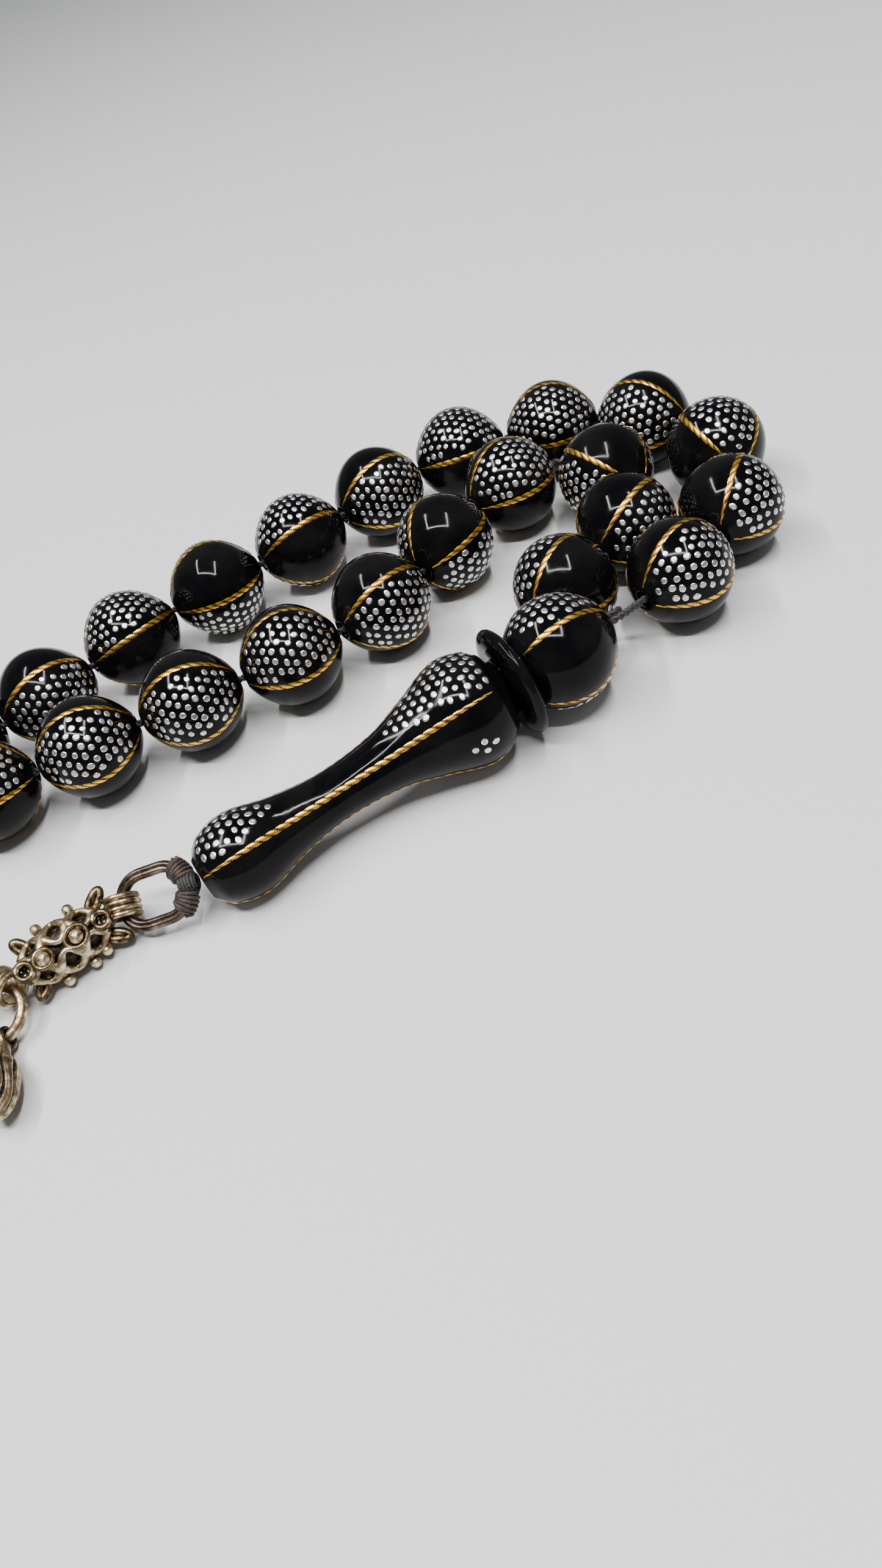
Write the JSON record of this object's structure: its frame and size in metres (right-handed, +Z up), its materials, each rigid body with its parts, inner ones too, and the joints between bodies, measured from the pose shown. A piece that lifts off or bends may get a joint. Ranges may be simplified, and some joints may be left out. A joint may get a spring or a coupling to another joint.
{
  "type": "prayer beads",
  "caption": "Loop of round black stone beads inlaid with fine pins and wires, ending in a vase-shaped imame with a collar and knob, and a short silver charm tassel.",
  "frame": {"origin": "on the surface the beads lie on, under the middle of the whole object's box", "axes": "+X along the imame from its tassel end to its knob, +Z up off the surface, +Y across the rows of beads away from the imame"},
  "size_m": [0.1705, 0.0855, 0.0127],
  "materials": {
    "black_stone": "polished black with silver pin and brass wire inlay",
    "black_thread": "twisted black thread",
    "antique_silver": "cast, darkened in its recesses"
  },
  "bodies": {
    "string_and_imame": {"string": "black_thread", "imame_body": "black_stone", "imame_collar": "black_stone", "imame_knob": "black_stone"},
    "bead_01": {"bead_01": "black_stone"},
    "bead_02": {"bead_02": "black_stone"},
    "bead_03": {"bead_03": "black_stone"},
    "bead_04": {"bead_04": "black_stone"},
    "bead_05": {"bead_05": "black_stone"},
    "bead_06": {"bead_06": "black_stone"},
    "bead_07": {"bead_07": "black_stone"},
    "bead_08": {"bead_08": "black_stone"},
    "bead_09": {"bead_09": "black_stone"},
    "bead_10": {"bead_10": "black_stone"},
    "bead_11": {"bead_11": "black_stone"},
    "bead_12": {"bead_12": "black_stone"},
    "bead_13": {"bead_13": "black_stone"},
    "bead_14": {"bead_14": "black_stone"},
    "bead_15": {"bead_15": "black_stone"},
    "bead_16": {"bead_16": "black_stone"},
    "bead_17": {"bead_17": "black_stone"},
    "bead_18": {"bead_18": "black_stone"},
    "bead_19": {"bead_19": "black_stone"},
    "bead_20": {"bead_20": "black_stone"},
    "bead_21": {"bead_21": "black_stone"},
    "bead_22": {"bead_22": "black_stone"},
    "bead_23": {"bead_23": "black_stone"},
    "bead_24": {"bead_24": "black_stone"},
    "bead_25": {"bead_25": "black_stone"},
    "bead_26": {"bead_26": "black_stone"},
    "bead_27": {"bead_27": "black_stone"},
    "bead_28": {"bead_28": "black_stone"},
    "bead_29": {"bead_29": "black_stone"},
    "bead_30": {"bead_30": "black_stone"},
    "bead_31": {"bead_31": "black_stone"},
    "bead_32": {"bead_32": "black_stone"},
    "bead_33": {"bead_33": "black_stone"},
    "separator_1": {"separator_1": "black_stone"},
    "separator_2": {"separator_2": "black_stone"},
    "link": {"oval_link": "antique_silver", "lashing": "black_thread"},
    "connector": {"connector_barrel": "antique_silver", "connector_granules": "antique_silver", "connector_upper_bail": "antique_silver", "connector_lower_bail": "antique_silver"},
    "ring": {"jump_ring": "antique_silver"},
    "pendant": {"pendant": "antique_silver"}
  },
  "joints": [
    {"name": "bead_01_spin", "type": "hinge", "parent": "string_and_imame", "child": "bead_01", "pos_m": [0.0618, -0.0278, 0.0059], "axis": [0.978, 0.2084, 0], "continuous": true},
    {"name": "bead_02_spin", "type": "hinge", "parent": "string_and_imame", "child": "bead_02", "pos_m": [0.07285, -0.02265, 0.0059], "axis": [0.7894, 0.6139, 0], "continuous": true},
    {"name": "bead_03_spin", "type": "hinge", "parent": "string_and_imame", "child": "bead_03", "pos_m": [0.0793, -0.0118, 0.0059], "axis": [0.2095, 0.9778, 0], "continuous": true},
    {"name": "bead_04_spin", "type": "hinge", "parent": "string_and_imame", "child": "bead_04", "pos_m": [0.07775, 0.00065, 0.0059], "axis": [-0.4884, 0.8726, 0], "continuous": true},
    {"name": "bead_05_spin", "type": "hinge", "parent": "string_and_imame", "child": "bead_05", "pos_m": [0.0692, 0.0091, 0.0059], "axis": [-0.8779, 0.4789, 0], "continuous": true},
    {"name": "bead_06_spin", "type": "hinge", "parent": "string_and_imame", "child": "bead_06", "pos_m": [0.05775, 0.01385, 0.0059], "axis": [-0.9594, 0.2822, 0], "continuous": true},
    {"name": "bead_07_spin", "type": "hinge", "parent": "string_and_imame", "child": "bead_07", "pos_m": [0.04565, 0.01485, 0.0059], "axis": [-0.9926, -0.1211, 0], "continuous": true},
    {"name": "bead_08_spin", "type": "hinge", "parent": "string_and_imame", "child": "bead_08", "pos_m": [0.03335, 0.01355, 0.0059], "axis": [-0.996, -0.0891, 0], "continuous": true},
    {"name": "bead_09_spin", "type": "hinge", "parent": "string_and_imame", "child": "bead_09", "pos_m": [0.021, 0.01305, 0.0059], "axis": [-1, 0.0081, 0], "continuous": true},
    {"name": "bead_10_spin", "type": "hinge", "parent": "string_and_imame", "child": "bead_10", "pos_m": [0.00875, 0.01185, 0.0059], "axis": [-0.9793, -0.2023, 0], "continuous": true},
    {"name": "bead_11_spin", "type": "hinge", "parent": "string_and_imame", "child": "bead_11", "pos_m": [-0.00335, 0.0094, 0.0059], "axis": [-0.9809, -0.1946, 0], "continuous": true},
    {"name": "bead_12_spin", "type": "hinge", "parent": "string_and_imame", "child": "bead_12", "pos_m": [-0.0222, 0.01245, 0.0059], "axis": [-0.8707, 0.4918, 0], "continuous": true},
    {"name": "bead_13_spin", "type": "hinge", "parent": "string_and_imame", "child": "bead_13", "pos_m": [-0.032, 0.01995, 0.0059], "axis": [-0.7031, 0.7111, 0], "continuous": true},
    {"name": "bead_14_spin", "type": "hinge", "parent": "string_and_imame", "child": "bead_14", "pos_m": [-0.0406, 0.029, 0.0059], "axis": [-0.6743, 0.7385, 0], "continuous": true},
    {"name": "bead_15_spin", "type": "hinge", "parent": "string_and_imame", "child": "bead_15", "pos_m": [-0.05065, 0.0361, 0.0059], "axis": [-0.9196, 0.393, 0], "continuous": true},
    {"name": "bead_16_spin", "type": "hinge", "parent": "string_and_imame", "child": "bead_16", "pos_m": [-0.06275, 0.0376, 0.0059], "axis": [-0.9874, -0.158, 0], "continuous": true},
    {"name": "bead_17_spin", "type": "hinge", "parent": "string_and_imame", "child": "bead_17", "pos_m": [-0.0736, 0.0322, 0.0059], "axis": [-0.7226, -0.6912, 0], "continuous": true},
    {"name": "bead_18_spin", "type": "hinge", "parent": "string_and_imame", "child": "bead_18", "pos_m": [-0.0794, 0.0216, 0.0059], "axis": [-0.19, -0.9818, 0], "continuous": true},
    {"name": "bead_19_spin", "type": "hinge", "parent": "string_and_imame", "child": "bead_19", "pos_m": [-0.07795, 0.00965, 0.0059], "axis": [0.4186, -0.9082, 0], "continuous": true},
    {"name": "bead_20_spin", "type": "hinge", "parent": "string_and_imame", "child": "bead_20", "pos_m": [-0.0699, 0.00065, 0.0059], "axis": [0.8568, -0.5157, 0], "continuous": true},
    {"name": "bead_21_spin", "type": "hinge", "parent": "string_and_imame", "child": "bead_21", "pos_m": [-0.05825, -0.0025, 0.0059], "axis": [0.9999, 0.016, 0], "continuous": true},
    {"name": "bead_22_spin", "type": "hinge", "parent": "string_and_imame", "child": "bead_22", "pos_m": [-0.0458, -0.00125, 0.0059], "axis": [0.9832, 0.1824, 0], "continuous": true},
    {"name": "bead_23_spin", "type": "hinge", "parent": "string_and_imame", "child": "bead_23", "pos_m": [-0.0261, 0, 0.0059], "axis": [0.9968, -0.0804, 0], "continuous": true},
    {"name": "bead_24_spin", "type": "hinge", "parent": "string_and_imame", "child": "bead_24", "pos_m": [-0.0139, -0.0018, 0.0059], "axis": [0.9773, -0.2118, 0], "continuous": true},
    {"name": "bead_25_spin", "type": "hinge", "parent": "string_and_imame", "child": "bead_25", "pos_m": [-0.00175, -0.00385, 0.0059], "axis": [0.9926, -0.1211, 0], "continuous": true},
    {"name": "bead_26_spin", "type": "hinge", "parent": "string_and_imame", "child": "bead_26", "pos_m": [0.0105, -0.00555, 0.0059], "axis": [0.9881, -0.1539, 0], "continuous": true},
    {"name": "bead_27_spin", "type": "hinge", "parent": "string_and_imame", "child": "bead_27", "pos_m": [0.02275, -0.00715, 0.0059], "axis": [0.9945, -0.1051, 0], "continuous": true},
    {"name": "bead_28_spin", "type": "hinge", "parent": "string_and_imame", "child": "bead_28", "pos_m": [0.035, -0.00665, 0.0059], "axis": [0.9827, 0.1853, 0], "continuous": true},
    {"name": "bead_29_spin", "type": "hinge", "parent": "string_and_imame", "child": "bead_29", "pos_m": [0.0463, -0.00215, 0.0059], "axis": [0.8407, 0.5416, 0], "continuous": true},
    {"name": "bead_30_spin", "type": "hinge", "parent": "string_and_imame", "child": "bead_30", "pos_m": [0.05825, 0.00198, 0.0059], "axis": [0.9935, 0.1141, 0], "continuous": true},
    {"name": "bead_31_spin", "type": "hinge", "parent": "string_and_imame", "child": "bead_31", "pos_m": [0.0676, -0.0055, 0.0059], "axis": [0.1496, -0.9888, 0], "continuous": true},
    {"name": "bead_32_spin", "type": "hinge", "parent": "string_and_imame", "child": "bead_32", "pos_m": [0.06305, -0.01613, 0.0059], "axis": [-0.9332, -0.3593, 0], "continuous": true},
    {"name": "bead_33_spin", "type": "hinge", "parent": "string_and_imame", "child": "bead_33", "pos_m": [0.05165, -0.02055, 0.0059], "axis": [-0.9312, -0.3644, 0], "continuous": true},
    {"name": "separator_1_spin", "type": "hinge", "parent": "string_and_imame", "child": "separator_1", "pos_m": [-0.0131, 0.0088, 0.0059], "axis": [-0.9871, 0.1601, 0], "continuous": true},
    {"name": "separator_2_spin", "type": "hinge", "parent": "string_and_imame", "child": "separator_2", "pos_m": [-0.03595, 0.0002, 0.0059], "axis": [0.9966, 0.0819, 0], "continuous": true},
    {"name": "link_swing", "type": "hinge", "parent": "string_and_imame", "child": "link", "pos_m": [0.0004, -0.0295, 0.004], "axis": [-0.2631, -0.7718, -0.5789], "range_deg": [-60, 15]},
    {"name": "connector_swing", "type": "hinge", "parent": "link", "child": "connector", "pos_m": [-0.0062, -0.0265, 0.003], "axis": [-0.2631, -0.7718, -0.5789], "range_deg": [-60, 60]},
    {"name": "ring_swing", "type": "hinge", "parent": "connector", "child": "ring", "pos_m": [-0.0193, -0.0279, 0.0029], "axis": [0.5446, -0.8387, 0], "range_deg": [-60, 60]},
    {"name": "pendant_swing", "type": "hinge", "parent": "ring", "child": "pendant", "pos_m": [-0.02145, -0.03249, 0.00135], "axis": [0.9712, -0.1432, 0.1902], "range_deg": [-60, 60]}
  ]
}
